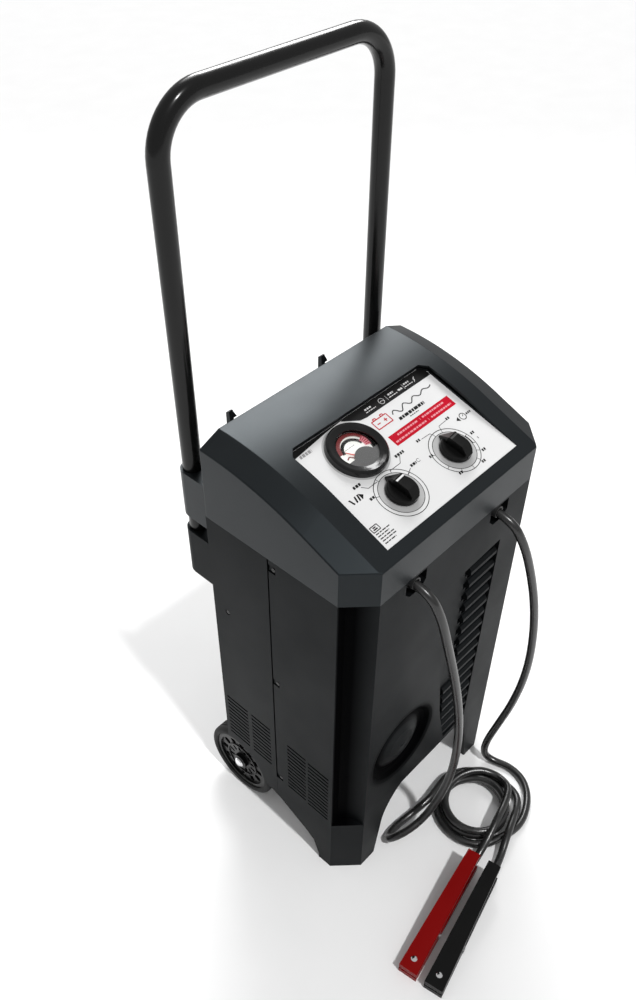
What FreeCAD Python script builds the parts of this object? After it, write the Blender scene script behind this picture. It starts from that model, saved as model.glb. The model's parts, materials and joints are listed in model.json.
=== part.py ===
import FreeCAD, Part
import math
import os

# Wheeled car battery charger: an upright plastic cabinet on two front feet and
# two rear wheels, with a fixed tube handle, a sloped control panel and two
# battery leads that end in clamps lying on the floor in front of it.
# Millimetres.  +Z is up, the control panel faces -Y, and the origin is on the
# floor at the centre of the cabinet, wheels and handle seen from above.

V = FreeCAD.Vector
X_AXIS, Y_AXIS, Z_AXIS = V(1, 0, 0), V(0, 1, 0), V(0, 0, 1)

# ---------------------------------------------------------------- dimensions
HALF_W = 168.0            # half the cabinet's width
FRONT = -139.0            # front face of the cabinet
REAR = 91.0               # rear face of the cabinet
CHAMFER = 31.0            # vertical chamfer on both front corners
WALL = 3.0                # moulded wall thickness
JOINT_Z = 554.0           # where the top housing meets the two shells
FOOT_BAND_Z = 112.5       # top of the plain chamfered foot
SEAM_Y = -7.0             # joint between the front and the rear shell
SEAM_GAP = 2.2
SEAM_END_Z = 122.0        # the open groove at the seam stops here
GAP = 0.3                 # clearance between neighbouring mouldings
SCREW_SEAT = 1.7          # side screws seat this far below the surface

ROOF_Z = 663.0            # highest line of the top housing
ROOF_ANGLE = 22.0         # slope of the straight front part of the roof
ROOF_RADIUS = 400.0       # the roof curves from that slope to level
BEVEL_W = 28.8            # bevel along both sides of the roof
BEVEL_DROP = 12.0

PANEL_ANGLE = 16.5        # slope of the control panel
PANEL_X = 2.0             # the panel sits a little right of centre
PANEL_HALF_W = 114.5
PANEL_FRONT = -124.5
PANEL_REAR = 17.5
PANEL_Z = 606.8           # height of the label's face at its front edge
LABEL_T = 1.5
PANEL_T = 2.5             # housing floor under the label

GAUGE_AT = (-44.0, -22.0)     # x, y on the panel
MODE_AT = (-45.0, -86.5)
TIMER_AT = (50.0, -85.5)
BEZEL_R = 36.0
KNOB_R = 19.0
KNOB_REST = 5.0           # both knobs are drawn turned this far anticlockwise
SHAFT_R = 3.0

ARCH_HALF_W = 110.0       # opening between the front feet
ARCH_TOP = 125.0

WHEEL_R = 60.0
WHEEL_Y = 79.0
WHEEL_W = 28.0
WHEEL_FACE_X = 162.0      # outer face of each wheel
AXLE_R = 5.0
WELL_R = 67.0             # wheel well in the rear shell

TUBE_R = 11.0             # 7/8 inch handle tube
TUBE_T = 1.3
HANDLE_X = 153.3
HANDLE_Y = 123.6
HANDLE_TOP = 993.6        # centre line of the top bar
HANDLE_BEND = 52.0
HANDLE_FOOT = 446.0

CHASSIS_Z = 133.0
CORE = (-68.0, -82.0, 146.0, 68.0, 22.0, 262.0)    # transformer laminations
FAN_Z = 330.0
MAINS_X, MAINS_Z = 70.0, 196.0
LEAD_R = 5.5              # battery lead, 11 mm over its jacket
LEAD_EXIT_X = 76.5
LEAD_EXIT_Z = 540.5


# ------------------------------------------------------------------- helpers
def block(x0, y0, z0, x1, y1, z1):
    return Part.makeBox(x1 - x0, y1 - y0, z1 - z0, V(x0, y0, z0))


def rod(x, y, z, axis, radius, length):
    """Cylinder that starts at the point and runs along the axis."""
    return Part.makeCylinder(radius, length, V(x, y, z), axis)


def ring(x, y, z, axis, outer, inner, length):
    return rod(x, y, z, axis, outer, length).cut(rod(x, y, z, axis, inner, length))


def fuse(shapes):
    first, rest = shapes[0], shapes[1:]
    return first.multiFuse(rest).removeSplitter() if rest else first


def slab(points, direction):
    """Prism over a flat polygon."""
    wire = Part.makePolygon(points + [points[0]])
    return Part.Face(wire).extrude(direction)


def plan(points, z0, z1):
    return slab([V(x, y, z0) for x, y in points], V(0, 0, z1 - z0))


def side(points, x0, x1):
    """Prism along X over a polygon of (y, z) points."""
    return slab([V(x0, y, z) for y, z in points], V(x1 - x0, 0, 0))


def front(points, y0, y1):
    """Prism along Y over a polygon of (x, z) points."""
    return slab([V(x, y0, z) for x, z in points], V(0, y1 - y0, 0))


def turned(points, x, y, z):
    """Solid of revolution about the vertical through x, y: (radius, height) points."""
    wire = Part.makePolygon([V(r, 0, h) for r, h in points + [points[0]]])
    solid = Part.Face(wire).revolve(V(0, 0, 0), Z_AXIS, 360)
    solid.translate(V(x, y, z))
    return solid


def moved(shape, x, y, z, axis=Z_AXIS, degrees=0.0):
    copy = shape.copy()
    copy.Placement = FreeCAD.Placement(V(x, y, z), FreeCAD.Rotation(axis, degrees)).multiply(copy.Placement)
    return copy


def mirrored(shape):
    """The same shape on the other side of the cabinet."""
    return shape.mirror(V(0, 0, 0), X_AXIS)


def group(shapes):
    return Part.makeCompound(shapes)


def filleted(solid, radius, wanted):
    """Fillet the edges for which wanted(edge) is true."""
    edges = [e for e in solid.Edges if wanted(e)]
    return solid.makeFillet(radius, edges)


def save(name, shape):
    for solid in shape.Solids:
        if not solid.isValid() or solid.Volume <= 0:
            print("CHECK", name, "holds a bad solid")
    shape.exportStep("parts/%s.step" % name)
    print("%-24s %2d solids %10.1f mm3" % (name, len(shape.Solids), shape.Volume))


# -------------------------------------------------------- cabinet outlines
def footprint(inset=0.0, corner=0.0):
    """Cabinet seen from above: square rear corners, chamfered front ones.
    corner is how much further the chamfers alone are moved inwards."""
    cut = CHAMFER - inset * (2 - math.sqrt(2)) + corner * math.sqrt(2)
    x, y0, y1 = HALF_W - inset, FRONT + inset, REAR - inset
    return [(-x, y1), (-x, y0 + cut), (-x + cut, y0), (x - cut, y0), (x, y0 + cut), (x, y1)]


def roof_height(y):
    """Height of the roof's middle part at a given depth."""
    start = REAR - ROOF_RADIUS * math.sin(math.radians(ROOF_ANGLE))
    if y >= start:
        return ROOF_Z - ROOF_RADIUS + math.sqrt(ROOF_RADIUS ** 2 - (REAR - y) ** 2)
    return roof_height(start) - (start - y) * math.tan(math.radians(ROOF_ANGLE))


def roof_face(x, drop):
    """Region under the roof line, in the plane of one x, lowered by drop."""
    far = FRONT - 40
    start = REAR - ROOF_RADIUS * math.sin(math.radians(ROOF_ANGLE))
    half = REAR - ROOF_RADIUS * math.sin(math.radians(ROOF_ANGLE / 2))
    p = [V(x, y, roof_height(y) - drop) for y in (far, start, half, REAR)]
    back_top, back_low, front_low = V(x, REAR + 60, ROOF_Z - drop), V(x, REAR + 60, 300), V(x, far, 300)
    edges = [Part.LineSegment(p[0], p[1]).toShape(), Part.Arc(p[1], p[2], p[3]).toShape(),
             Part.LineSegment(p[3], back_top).toShape(), Part.LineSegment(back_top, back_low).toShape(),
             Part.LineSegment(back_low, front_low).toShape(), Part.LineSegment(front_low, p[0]).toShape()]
    return Part.Face(Part.Wire(edges))


def under_roof(drop=0.0):
    """Everything under the roof and its two side bevels."""
    inner = HALF_W - BEVEL_W
    reach = BEVEL_W * 1.5
    middle = roof_face(-inner, drop).extrude(V(2 * inner, 0, 0))
    right = roof_face(inner, drop).extrude(V(reach, 0, -BEVEL_DROP * 1.5))
    left = roof_face(-inner, drop).extrude(V(-reach, 0, -BEVEL_DROP * 1.5))
    return fuse([middle, right, left])


def panel_z(y):
    return PANEL_Z + (y - PANEL_FRONT) * math.tan(math.radians(PANEL_ANGLE))


def on_panel(shape, at):
    """Put a shape drawn flat, with its foot on the label's face, on the panel."""
    return moved(shape, at[0], at[1], panel_z(at[1]), X_AXIS, PANEL_ANGLE)


def panel_prism(inset, below, above):
    """The panel's outline as a prism square to the panel's face."""
    slope = math.cos(math.radians(PANEL_ANGLE))
    x, deep = PANEL_HALF_W - inset, (PANEL_REAR - PANEL_FRONT) / slope
    y0, y1, c = inset, deep - inset, 9.0 - inset * 0.6
    points = [(-x, y0), (x, y0), (x, y1 - c), (x - c, y1), (-x + c, y1), (-x, y1 - c)]
    return moved(plan(points, below, above), PANEL_X, PANEL_FRONT, PANEL_Z, X_AXIS, PANEL_ANGLE)


# ---------------------------------------------------------------- top housing
def lead_notch(grow=0.0):
    """Slot at the joint line that a lead comes out through, at x = 0."""
    w, low, high = 17.5 + grow, 527.0 - grow, JOINT_Z - 2.4 + grow
    body = front([(-w, low + 8), (-w + 8, low), (w - 8, low), (w, low + 8), (w, high), (-w, high)],
                 FRONT - 5, FRONT + 16 + grow)
    return body


def handle_socket(z0, z1, closed):
    """Collar round a handle leg, joined to the rear face by a web."""
    outer = rod(HANDLE_X, HANDLE_Y, z0, Z_AXIS, TUBE_R + 3.0, z1 - z0)
    web = block(HANDLE_X - 12.5, REAR - WALL, z0, HALF_W - 0.4, HANDLE_Y, z1)
    toe = side([(REAR - 1, z0 - 1), (HANDLE_Y + 20, z0 - 1), (HANDLE_Y + 20, z0 + 7), (HANDLE_Y + 5, z0 - 0.5)],
               HANDLE_X - 20, HALF_W + 5)
    floor = z0 + 4.0 if closed else z0 - 1
    bore = rod(HANDLE_X, HANDLE_Y, floor, Z_AXIS, TUBE_R + 0.15, z1 - floor + 1)
    return fuse([outer, web]).cut(toe).cut(bore)


def top_housing():
    outer = plan(footprint(), JOINT_Z, ROOF_Z + 20).common(under_roof())
    crest = REAR - ROOF_RADIUS * math.sin(math.radians(ROOF_ANGLE))
    outer = filleted(outer, 2.0, lambda e: e.CenterOfMass.z > JOINT_Z + 30 and e.Length > 3
                     and abs(e.CenterOfMass.y - crest) > 1)
    sockets = handle_socket(534.0, 599.0, False)
    sockets = sockets.cut(block(0, REAR - 20, 500, 200, REAR + GAP, JOINT_Z))
    outer = fuse([outer, sockets, mirrored(sockets)])
    hollow = plan(footprint(WALL), JOINT_Z - 1, ROOF_Z).common(under_roof(WALL))
    tray = panel_prism(-PANEL_T, -LABEL_T - PANEL_T, 2.0).common(hollow)
    body = fuse([outer.cut(hollow), tray])
    body = body.cut(panel_prism(0.0, -LABEL_T, 40.0))
    for at, radius in ((GAUGE_AT, 28.4), (MODE_AT, SHAFT_R + 1.5), (TIMER_AT, SHAFT_R + 1.5)):
        body = body.cut(on_panel(rod(0, 0, -12, Z_AXIS, radius, 14), at))
    for screw in handle_screw_places():
        body = body.cut(rod(screw[0], screw[1] - 12, screw[2], Y_AXIS, 2.1, 40))
    return body


def handle_screw_places():
    """Back-facing screws that pin the tube in its four collars."""
    return [(sx * HANDLE_X, HANDLE_Y + TUBE_R, z) for sx in (-1, 1) for z in (566.0, 476.0)]


# --------------------------------------------------------------------- shells
def front_arch(grow=0.0):
    """Opening between the two front feet, as a prism through the front wall."""
    w, top = ARCH_HALF_W + grow, ARCH_TOP + grow
    right = [V(w, 0, -20), V(w - 1, 0, 0), V(w - 11, 0, 62)]
    shoulder = V(w - 24, 0, 100 + grow)
    crown = V(w - 52, 0, top)
    edges = [Part.LineSegment(right[0], right[1]).toShape(), Part.LineSegment(right[1], right[2]).toShape(),
             Part.Arc(right[2], shoulder, crown).toShape()]
    left = [V(-p.x, 0, p.z) for p in (crown, shoulder, right[2], right[1], right[0])]
    edges.append(Part.LineSegment(crown, left[0]).toShape())
    edges.append(Part.Arc(left[0], left[1], left[2]).toShape())
    edges.append(Part.LineSegment(left[2], left[3]).toShape())
    edges.append(Part.LineSegment(left[3], left[4]).toShape())
    edges.append(Part.LineSegment(left[4], right[0]).toShape())
    return Part.Face(Part.Wire(edges))


def side_arch(grow=0.0):
    """Opening between a front foot and the wheel, (y, z) points."""
    g = grow
    return [(-88 - g, -20), (-86 - g, 9), (-76 - g, 36 + g * 0.6), (-64 - g * 0.7, 45 + g * 0.8),
            (-40, 58 + g), (-12, 73 + g), (4, 78 + g), (30, 78 + g), (60, 30), (110, 30), (110, -20)]


def cabinet_tube():
    """Both shells as one open-ended tube, before it is split at the seam."""
    outer = plan(footprint(), 0, JOINT_Z - GAP)
    flute_z0, flute_z1 = FOOT_BAND_Z, JOINT_Z
    for sx in (-1, 1):
        a = V(sx * HALF_W, FRONT + CHAMFER, flute_z0)
        b = V(sx * (HALF_W - CHAMFER), FRONT, flute_z0)
        deep = a + V(-sx * 13.5, 0.5, 0)
        middle = V(sx * (HALF_W - 26.5), FRONT + 17.5, flute_z0)
        corner = V(sx * (HALF_W + 10), FRONT - 10, flute_z0)
        wire = Part.Wire([Part.LineSegment(a, deep).toShape(), Part.Arc(deep, middle, b).toShape(),
                          Part.LineSegment(b, corner).toShape(), Part.LineSegment(corner, a).toShape()])
        outer = outer.cut(Part.Face(wire).extrude(V(0, 0, flute_z1 - flute_z0)))
    hollow = plan(footprint(WALL, 10.5), -1, JOINT_Z + 1)
    return outer.cut(hollow)


def shell_half(front_part):
    """Front or rear part of the tube: an open groove at the seam above the feet,
    and a close joint below it."""
    tube = cabinet_tube()
    halves = []
    for gap, z0, z1 in ((SEAM_GAP / 2, SEAM_END_Z, JOINT_Z), (GAP / 2, 0, SEAM_END_Z)):
        if front_part:
            region = block(-200, FRONT - 1, z0, 200, SEAM_Y - gap, z1)
        else:
            region = block(-200, SEAM_Y + gap, z0, 200, REAR + 1, z1)
        halves.append(tube.common(region))
    return fuse(halves)


def vent_slots(y_low, y_high, z_top, count):
    """One column of horizontal slots through both side walls."""
    pitch, height = 8.1, 3.4
    slots = []
    for i in range(count):
        z = z_top - i * pitch
        for sx in (-1, 1):
            x0 = sx * (HALF_W - 8) if sx > 0 else -HALF_W - 1
            slots.append(block(x0, y_low, z - height, x0 + 9, y_high, z))
    return slots


def seam_screw_places():
    """Side screws: three beside the seam and one further back, both sides."""
    places = [(SEAM_Y - 8.0, z) for z in (549.5 - 8, 340.5, 128.0)] + [(67.5, 409.0)]
    return [(sx, y, z) for sx in (-1, 1) for y, z in places]


def louvre_rows():
    """Height, left end and right end of each louvre on the front face."""
    rows = []
    for i in range(16):
        z = 470.0 - i * 21.4
        left = 38.0 if z > 265 else 16.0 + 0.1 * (265 - z)
        rows.append((z, left, 90.0 - (470.0 - z) * 0.022))
    return rows


def front_features(shell):
    """Recessed field with louvres, the round boss and the lead notches."""
    field = [(-22, 480), (92, 486), (83, 136), (34, 133), (20, 190), (14, 215)]
    backing = front([(-30, 492), (98, 492), (92, 128), (20, 128)], FRONT + WALL - 0.5, FRONT + 9.0)
    shell = shell.fuse(backing)
    boss_x, boss_z = -66.0, 226.0
    boss_back = rod(boss_x, FRONT + WALL - 0.5, boss_z, Y_AXIS, 64.0, 13.5)
    arch_room = front_arch().extrude(V(0, 40, 0))
    arch_room.translate(V(0, FRONT - 10, 0))
    shell = shell.fuse(boss_back.cut(arch_room))
    outline = [V(62, -1, 0), V(62, 0, 0), V(57, 1.6, 0), V(52, 6.0, 0), V(46, 8.6, 0), V(40, 8.0, 0)]
    outline += [V(34, 5.4, 0), V(22, 2.2, 0), V(0, 0.2, 0), V(0, -1, 0)]
    cutter = Part.Face(Part.makePolygon(outline + [outline[0]])).revolve(V(0, 0, 0), Y_AXIS, 360)
    shell = shell.cut(moved(cutter, boss_x, FRONT, boss_z))
    shell = shell.cut(front(field, FRONT - 1, FRONT + 5.5))
    cuts, slats = [], []
    for z, left, right in louvre_rows():
        cuts.append(block(left, FRONT + 4, z - 15.5, right - 1, FRONT + 12, z - 9.5))
        cuts.append(block(left - 6, FRONT + 2, z - 9, left, FRONT + 12, z + 1))
        slat = side([(FRONT + 6, z + 4), (FRONT + 3.6, z + 3.2), (FRONT + 0.6, z - 1.5), (FRONT + 0.6, z - 6.5),
                     (FRONT + 2.8, z - 9.0), (FRONT + 6, z - 9.4)], left, right)
        slats.append(slat)
    return shell.cut(group(cuts)).multiFuse(slats)


def arch_lip():
    """Inward lip along the front arch."""
    outer = front_arch(3.5).extrude(V(0, 12, 0))
    inner = front_arch().extrude(V(0, 12, 0))
    lip = outer.cut(inner)
    lip.translate(V(0, FRONT + 0.5, 0))
    return lip.common(block(-ARCH_HALF_W - 8, FRONT, 0, ARCH_HALF_W + 8, FRONT + 20, ARCH_TOP + 8))


def front_shell():
    shell = shell_half(True)
    shell = front_features(shell)
    arch = front_arch().extrude(V(0, 40, 0))
    arch.translate(V(0, FRONT - 10, 0))
    shell = shell.cut(arch).fuse(arch_lip())
    lips = []
    for x0 in (-HALF_W, HALF_W - 11):
        lip = side(side_arch(3.5), x0 + 0.5, x0 + 10.5).cut(side(side_arch(), x0, x0 + 12))
        lips.append(lip.common(block(x0, FRONT + CHAMFER, 0, x0 + 12, SEAM_Y - GAP / 2, 90)))
    shell = shell.cut(side(side_arch(), -HALF_W - 1, HALF_W + 1)).multiFuse(lips)
    cuts = vent_slots(-61.5, -28.4, 223.0, 13) + vent_slots(-101.1, -65.2, 220.0, 13)
    for sx, y, z in seam_screw_places():
        if y < SEAM_Y:
            x0, x1 = sx * HALF_W - SCREW_SEAT, sx * HALF_W + SCREW_SEAT
            cuts.append(block(x0, y - 3.4, z - 5.5, x1, SEAM_Y, z + 5.5))
            cuts.append(rod(sx * (HALF_W + 1), y, z, X_AXIS * -sx, 1.6, 8))
    for x in (-LEAD_EXIT_X, LEAD_EXIT_X):
        cuts.append(moved(lead_notch(), x, 0, 0))
    shell = shell.cut(group(cuts))
    pockets = []
    for x in (-LEAD_EXIT_X, LEAD_EXIT_X):
        skin = moved(lead_notch(2.2), x, 0, 0).cut(moved(lead_notch(), x, 0, 0))
        skin = skin.common(block(x - 30, FRONT + WALL, 500, x + 30, FRONT + 30, JOINT_Z - GAP))
        pockets.append(skin.cut(rod(x, FRONT, LEAD_EXIT_Z, Y_AXIS, 8.3, 40)))
    return shell.multiFuse(pockets).removeSplitter()


def rear_shell():
    shell = shell_half(False)
    well_gap = HALF_W - WHEEL_FACE_X + WHEEL_W + 5
    cuts, adds = [], []
    for sx in (-1, 1):
        outside = sx * (HALF_W + 1)
        cuts.append(rod(outside, WHEEL_Y, WHEEL_R, X_AXIS * -sx, WELL_R, well_gap + 1))
        fender = ring(sx * (HALF_W - 1), WHEEL_Y, WHEEL_R, X_AXIS * -sx, WELL_R + WALL, WELL_R, well_gap + 1)
        fender = fender.common(block(-HALF_W, -20, WHEEL_R + 10, HALF_W, REAR, 200))
        adds.append(fender)
        x_in = sx * (HALF_W - well_gap)
        cheek = block(min(x_in, x_in - sx * WALL), 14, WHEEL_R - 22, max(x_in, x_in - sx * WALL), REAR, 131)
        boss = rod(x_in - sx * WALL, WHEEL_Y, WHEEL_R, X_AXIS * sx, 10, 4.5 + WALL)
        adds += [cheek, boss]
    cuts.append(side(side_arch(), -HALF_W - 1, HALF_W + 1))
    cuts.append(block(-HALF_W - 1, REAR - 10, -1, HALF_W + 1, REAR + 1, WHEEL_R - 22))
    cuts += vent_slots(45.2, 84.6, 226.0, 11) + vent_slots(3.0, 38.1, 226.0, 11)
    for sx, y, z in seam_screw_places():
        if y > SEAM_Y:
            cuts.append(rod(sx * (HALF_W + 1), y, z, X_AXIS * -sx, 1.6, 8))
            cuts.append(rod(sx * (HALF_W + 1), y, z, X_AXIS * -sx, 4.0, SCREW_SEAT + 1))
    for i in range(9):
        z = FAN_Z + 44 - i * 11
        half = math.sqrt(max(54.0 ** 2 - (z - FAN_Z) ** 2, 0))
        cuts.append(block(-half, REAR - 5, z - 3, half, REAR + 1, z + 3))
    cuts.append(rod(MAINS_X, REAR - 5, MAINS_Z, Y_AXIS, 8.2, 10))
    shell = shell.cut(group(cuts))
    tongue = [block(sx * (HALF_W - WALL - 0.9) - 0.9, SEAM_Y - 7, 90, sx * (HALF_W - WALL - 0.9) + 0.9,
                    SEAM_Y + 6, JOINT_Z - 1) for sx in (-1, 1)]
    collar = handle_socket(441.0, 510.0, True)
    shell = shell.multiFuse(adds + tongue + [collar, mirrored(collar)])
    holes = [rod(-HALF_W, WHEEL_Y, WHEEL_R, X_AXIS, AXLE_R + 0.1, 2 * HALF_W)]
    for sx, y, z in seam_screw_places():
        holes.append(rod(sx * (HALF_W - 1), y, z, X_AXIS * -sx, 1.6, 8))
    for x, y, z in handle_screw_places():
        holes.append(rod(x, y - 12, z, Y_AXIS, 2.1, 40))
    return shell.cut(group(holes)).removeSplitter()


# --------------------------------------------------------------- control panel
def control_label():
    label = panel_prism(GAP, -LABEL_T, 0.0)
    for at, radius in ((GAUGE_AT, 28.4), (MODE_AT, SHAFT_R + 1.5), (TIMER_AT, SHAFT_R + 1.5)):
        label = label.cut(on_panel(rod(0, 0, -12, Z_AXIS, radius, 14), at))
    return label


def gauge_bezel():
    """Wide ring that dishes inwards to the meter's window and holds its lens."""
    profile = [(26.4, 0.05), (BEZEL_R, 0.05), (BEZEL_R, 3.6), (35.4, 6.2), (33.8, 7.8), (32.2, 7.9),
               (28.6, 6.7), (25.0, 5.9), (25.0, 5.0), (26.4, 5.0)]
    return on_panel(turned(profile, 0, 0, 0), GAUGE_AT)


def gauge_case():
    profile = [(0, -31), (24, -31), (28.0, -27), (28.0, 0.0), (26.3, 0.0), (26.3, -25.5), (0, -25.5)]
    return on_panel(turned(profile, 0, 0, 0), GAUGE_AT)


def gauge_dial():
    return on_panel(rod(0, 0, -1.2, Z_AXIS, 26.1, 1.2).cut(rod(0, -11, -2, Z_AXIS, 1.6, 4)), GAUGE_AT)


def gauge_movement():
    """Moving-coil movement: magnet block and the column that carries the dial."""
    coil = fuse([block(-9, -19, -21, 9, -3, -6), rod(0, -11, -25.4, Z_AXIS, 7, 24.1)])
    return on_panel(coil.cut(rod(0, -11, -26, Z_AXIS, 0.85, 26)), GAUGE_AT)


def gauge_needle():
    blade = plan([(-1.1, -16), (1.1, -16), (0.35, 9.5), (-0.35, 9.5)], 1.0, 1.6)
    hub = rod(0, -11, 0.4, Z_AXIS, 2.4, 1.6)
    pivot = rod(0, -11, -8.2, Z_AXIS, 0.8, 9)
    needle = fuse([blade, hub, pivot])
    needle.rotate(V(0, -11, 0), Z_AXIS, 38)
    return on_panel(needle, GAUGE_AT)


def gauge_cover():
    """Mask over the lower part of the dial that hides the needle's pivot."""
    arch = rod(2.5, -15.5, 2.2, Z_AXIS, 15.5, 1.0)
    shoulders = block(-27, -27, 2.2, 27, -8.5, 3.2)
    mask = fuse([arch, shoulders]).common(rod(0, 0, 2, Z_AXIS, 26.0, 3))
    studs = [rod(x, -19.5, 0.0, Z_AXIS, 1.2, 2.6) for x in (-5, 5)]
    return on_panel(fuse([mask] + studs), GAUGE_AT)


def gauge_lens():
    profile = [(0, 3.5), (26.2, 3.5), (26.2, 4.8), (22, 5.3), (12, 5.9), (0, 6.1)]
    return on_panel(turned(profile, 0, 0, 0), GAUGE_AT)


def knob(at):
    """Rotary knob: round skirt, broad grip bar with a pointed tip, and its socket."""
    skirt = turned([(0, 0.8), (KNOB_R - 0.5, 0.8), (KNOB_R, 2.0), (KNOB_R - 0.8, 6.5), (KNOB_R - 2.0, 7.6),
                    (0, 8.4)], 0, 0, 0)
    end = -KNOB_R + 0.6
    bar = plan([(-6.6, end + 3.0), (-4.0, end), (4.0, end), (6.6, end + 3.0), (6.6, KNOB_R - 7.5),
                (0.0, KNOB_R + 4.6), (-6.6, KNOB_R - 7.5)], 1.6, 18.0)
    nose = slab([V(-12, 9.5, 18.5), V(-12, 40, 18.5), V(-12, 40, -13.0)], V(24, 0, 0))
    tail = slab([V(-12, -6.0, 18.5), V(-12, -40, 18.5), V(-12, -40, -7.5)], V(24, 0, 0))
    dish = rod(0, -40, 18.0 + 62.0, Y_AXIS, 63.0, 80)
    bar = bar.cut(nose).cut(tail).cut(dish)
    socket = rod(0, 0, 0.8, Z_AXIS, SHAFT_R + 0.02, 9.0)
    body = fuse([skirt, bar]).cut(socket)
    return on_panel(moved(body, 0, 0, 0, Z_AXIS, KNOB_REST), at)


def knob_shaft(at):
    stem = rod(0, 0, -22.0, Z_AXIS, SHAFT_R, 31.5)
    return on_panel(stem, at)


def mode_switch():
    """Rotary switch wafer stack under the panel, with its fixing bush."""
    under = -LABEL_T - PANEL_T
    body = fuse([rod(0, 0, under - 22.0, Z_AXIS, 17.0, 18.0), rod(0, 0, under - 4.0, Z_AXIS, 6.0, 3.9)])
    lugs = []
    for i in range(10):
        lug = block(15.5, -1.2, under - 17.5, 21.5, 1.2, under - 16.5)
        lug.rotate(V(0, 0, 0), Z_AXIS, i * 36.0)
        lugs.append(lug)
    body = fuse([body] + lugs).cut(rod(0, 0, under - 30.0, Z_AXIS, SHAFT_R + 0.05, 40))
    return on_panel(body, MODE_AT)


def timer_unit():
    """Clockwork timer under the panel: square case, round spring housing."""
    under = -LABEL_T - PANEL_T
    body = fuse([block(-21, -21, under - 26.0, 21, 21, under - 6.0), rod(0, 0, under - 6.5, Z_AXIS, 7.0, 6.4),
                 rod(0, 0, under - 32.0, Z_AXIS, 15.0, 6.5)])
    body = filleted(body, 2.5, lambda e: abs(e.Length - 20.0) < 0.1 and len(e.Vertexes) == 2)
    return on_panel(body.cut(rod(0, 0, under - 21.0, Z_AXIS, SHAFT_R + 0.05, 40)), TIMER_AT)


# -------------------------------------------------------- handle and wheels
def handle_wire(reach):
    """Centre line of the handle; reach lengthens both legs downwards."""
    x, top, r = HANDLE_X, HANDLE_TOP, HANDLE_BEND
    low, k = HANDLE_FOOT - reach, r * (1 - math.sqrt(0.5))
    p = [V(-x, HANDLE_Y, low), V(-x, HANDLE_Y, top - r), V(-x + k, HANDLE_Y, top - k), V(-x + r, HANDLE_Y, top)]
    q = [V(-v.x, v.y, v.z) for v in reversed(p)]
    edges = [Part.LineSegment(p[0], p[1]).toShape(), Part.Arc(p[1], p[2], p[3]).toShape(),
             Part.LineSegment(p[3], q[0]).toShape(), Part.Arc(q[0], q[1], q[2]).toShape(),
             Part.LineSegment(q[2], q[3]).toShape()]
    return Part.Wire(edges)


def handle_tube():
    def swept(radius, reach):
        ring_wire = Part.Wire([Part.makeCircle(radius, V(-HANDLE_X, HANDLE_Y, HANDLE_FOOT - reach), Z_AXIS)])
        return handle_wire(reach).makePipeShell([ring_wire], True, False)
    tube = swept(TUBE_R, 0).cut(swept(TUBE_R - TUBE_T, 1))
    for x, y, z in handle_screw_places():
        tube = tube.cut(rod(x, y - 5, z, Y_AXIS, 2.1, 10))
    return tube


def handle_screws():
    screws = []
    for x, y, z in handle_screw_places():
        screws.append(fuse([rod(x, y - 6, z, Y_AXIS, 2.0, 10), rod(x, y + 3.1, z, Y_AXIS, 3.9, 1.2)]))
    return group(screws)


def wheel_hub(sx):
    """Wheel centre with two rings of slots; drawn facing +X, then mirrored."""
    x0, x1 = WHEEL_FACE_X - WHEEL_W, WHEEL_FACE_X
    rim = ring(x0 + 2, 0, 0, X_AXIS, 49.5, 43.5, WHEEL_W - 5)
    web = rod(x1 - 11, 0, 0, X_AXIS, 44.5, 5)
    barrel = rod(x0, 0, 0, X_AXIS, 12.0, WHEEL_W)
    hub = fuse([rim, web, barrel])
    cuts = [rod(x0 - 1, 0, 0, X_AXIS, AXLE_R + 0.06, WHEEL_W + 2)]
    for i in range(12):
        for radius, width, height in ((35.5, 9.5, 12.0), (21.5, 5.0, 9.0)):
            slot = block(x1 - 12, -width / 2, radius - height / 2, x1 - 5, width / 2, radius + height / 2)
            slot = filleted(slot, width * 0.45, lambda e: abs(e.tangentAt(e.FirstParameter).x) > 0.9)
            slot.rotate(V(0, 0, 0), X_AXIS, i * 30 + (15 if radius < 30 else 0))
            cuts.append(slot)
    hub = hub.cut(group(cuts))
    bead = ring(x1 - 6.5, 0, 0, X_AXIS, 29.5, 27.5, 2.0)
    hub = moved(fuse([hub, bead]), 0, WHEEL_Y, WHEEL_R)
    return hub if sx > 0 else mirrored(hub)


def tyre(sx):
    x0, x1, r = WHEEL_FACE_X - WHEEL_W, WHEEL_FACE_X, WHEEL_R
    p = [V(x0 + 1.5, 0, 49.6), V(x0, 0, 52), V(x0, 0, r - 6), V(x0 + 1.8, 0, r - 1.8), V(x0 + 6, 0, r),
         V(x1 - 6, 0, r), V(x1 - 1.8, 0, r - 1.8), V(x1, 0, r - 6), V(x1, 0, 52), V(x1 - 1.5, 0, 49.6)]
    edges = [Part.LineSegment(p[0], p[1]).toShape(), Part.LineSegment(p[1], p[2]).toShape(),
             Part.Arc(p[2], p[3], p[4]).toShape(), Part.LineSegment(p[4], p[5]).toShape(),
             Part.Arc(p[5], p[6], p[7]).toShape(), Part.LineSegment(p[7], p[8]).toShape(),
             Part.LineSegment(p[8], p[9]).toShape(), Part.LineSegment(p[9], p[0]).toShape()]
    body = Part.Face(Part.Wire(edges)).revolve(V(0, 0, 0), X_AXIS, 360)
    grooves = [ring(x, 0, 0, X_AXIS, r + 1, r - 1.2, 1.6) for x in (x0 + 9, (x0 + x1) / 2 - 0.8, x1 - 10.6)]
    body = moved(body.cut(group(grooves)), 0, WHEEL_Y, WHEEL_R)
    return body if sx > 0 else mirrored(body)


def axle_rod():
    half = WHEEL_FACE_X + 3.0
    return rod(-half, WHEEL_Y, WHEEL_R, X_AXIS, AXLE_R, 2 * half)


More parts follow.
